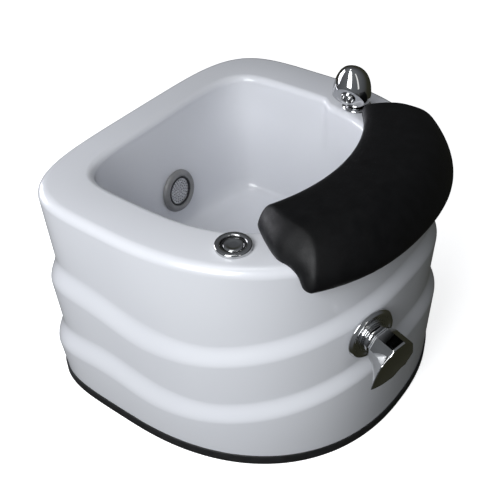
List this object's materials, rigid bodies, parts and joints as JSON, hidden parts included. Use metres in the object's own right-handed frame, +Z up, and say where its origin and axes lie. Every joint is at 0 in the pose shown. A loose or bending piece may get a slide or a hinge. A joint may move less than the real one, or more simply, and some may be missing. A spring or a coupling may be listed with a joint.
{
  "type": "pedicure foot bath",
  "caption": "Glossy white moulded foot bath with wavy skirt, deep basin, hooked black footrest pad, chrome spout, lever mixer, whirl jet and deck button.",
  "frame": {"origin": "on the floor, under the middle of the bath's bounding box", "axes": "+Z up; -Y towards the front, where the footrest pad and the mixer tap are; +X towards the deck side with the filling spout"},
  "size_m": [0.61, 0.622, 0.4769],
  "materials": {
    "gelcoat_white": "glossy cool-white gel coat over moulded glass-fibre resin",
    "rubber_black": "matte black rubber edging",
    "foam_black": "black integral-skin polyurethane foam with a fine leather grain",
    "chrome": "polished chrome plating",
    "brass": "machined brass",
    "steel": "plain stainless steel",
    "plastic_grey": "mid-grey moulded plastic",
    "plastic_black": "black moulded plastic",
    "plastic_white": "white moulded plastic",
    "plywood": "sealed plywood",
    "braided_hose": "stainless wire braid over a rubber hose",
    "clear_tube": "translucent plastic tube",
    "circuit_board": "green circuit board"
  },
  "bodies": {
    "tub": {"outer_shell": "gelcoat_white", "basin_bowl": "gelcoat_white", "base_trim": "rubber_black", "base_board": "plywood", "footrest_pad": "foam_black", "footrest_plate": "plastic_black", "footrest_bolt_left": "steel", "footrest_bolt_right": "steel", "button_bezel": "chrome", "button_body": "plastic_black", "button_gasket": "rubber_black", "button_nut": "plastic_black", "button_spring": "steel", "spout_base_ring": "chrome", "spout_shank": "brass", "spout_gasket": "rubber_black", "spout_nut": "brass", "mixer_flange": "chrome", "mixer_body": "brass", "mixer_nut": "brass", "mixer_cartridge": "plastic_white", "mixer_sleeve": "chrome", "hot_inlet_tail": "brass", "cold_inlet_tail": "brass", "mixed_outlet_tail": "brass", "supply_hose": "braided_hose", "drain_flange": "chrome", "drain_gasket": "rubber_black", "drain_nut": "plastic_grey", "drain_tail": "plastic_grey", "drain_strainer": "steel", "jet_ring": "plastic_grey", "jet_housing": "plastic_black", "jet_screen": "steel", "jet_gasket": "rubber_black", "jet_nut": "plastic_grey", "impeller_pin": "steel", "motor_housing": "plastic_black", "motor_stator": "steel", "control_box": "plastic_white", "control_lid": "plastic_white", "control_board": "circuit_board", "air_switch": "plastic_black", "air_tube": "clear_tube", "motor_cable": "rubber_black", "cable_gland": "plastic_black", "gland_bush": "plastic_black", "gland_nut": "plastic_black"},
    "button": {"button_cap": "chrome"},
    "spout": {"spout_body": "chrome", "spout_aerator": "chrome"},
    "mixer_rotor": {"cartridge_rotor": "plastic_grey"},
    "lever": {"mixer_handle": "chrome", "mixer_stem": "steel"},
    "plug": {"drain_plug": "chrome"},
    "magnet": {"drive_magnet": "steel"},
    "impeller": {"jet_impeller": "plastic_white"}
  },
  "joints": [
    {"name": "button_press", "type": "slide", "parent": "tub", "child": "button", "axis": [0, 0, -1], "range_m": [0, 0.004], "stiffness_N_per_m": 600, "springref_m": -0.001},
    {"name": "spout_swivel", "type": "hinge", "parent": "tub", "child": "spout", "pos_m": [0.211, -0.0228, 0.3894], "axis": [0, 0, 1], "range_deg": [-30, 30]},
    {"name": "mixer_temperature", "type": "hinge", "parent": "tub", "child": "mixer_rotor", "pos_m": [-0.10258, -0.24991, 0.23054], "axis": [-0.2785, -0.9597, -0.0382], "range_deg": [-10, 90]},
    {"name": "mixer_flow", "type": "hinge", "parent": "mixer_rotor", "child": "lever", "pos_m": [-0.10258, -0.24991, 0.23054], "axis": [-0.5179, 0.1166, 0.8474], "range_deg": [0, 18]},
    {"name": "drain_plug_lift", "type": "slide", "parent": "tub", "child": "plug", "axis": [0, 0, 1], "range_m": [0, 0.008]},
    {"name": "magnet_spin", "type": "hinge", "parent": "tub", "child": "magnet", "pos_m": [0.005, 0.21753, 0.24], "axis": [0, -0.9912, 0.1322], "continuous": true},
    {"name": "impeller_spin", "type": "hinge", "parent": "tub", "child": "impeller", "pos_m": [0.005, 0.21753, 0.24], "axis": [0, -0.9912, 0.1322], "continuous": true}
  ],
  "couplings": [
    {"joint": "impeller_spin", "follows": "magnet_spin", "ratio": 1}
  ]
}
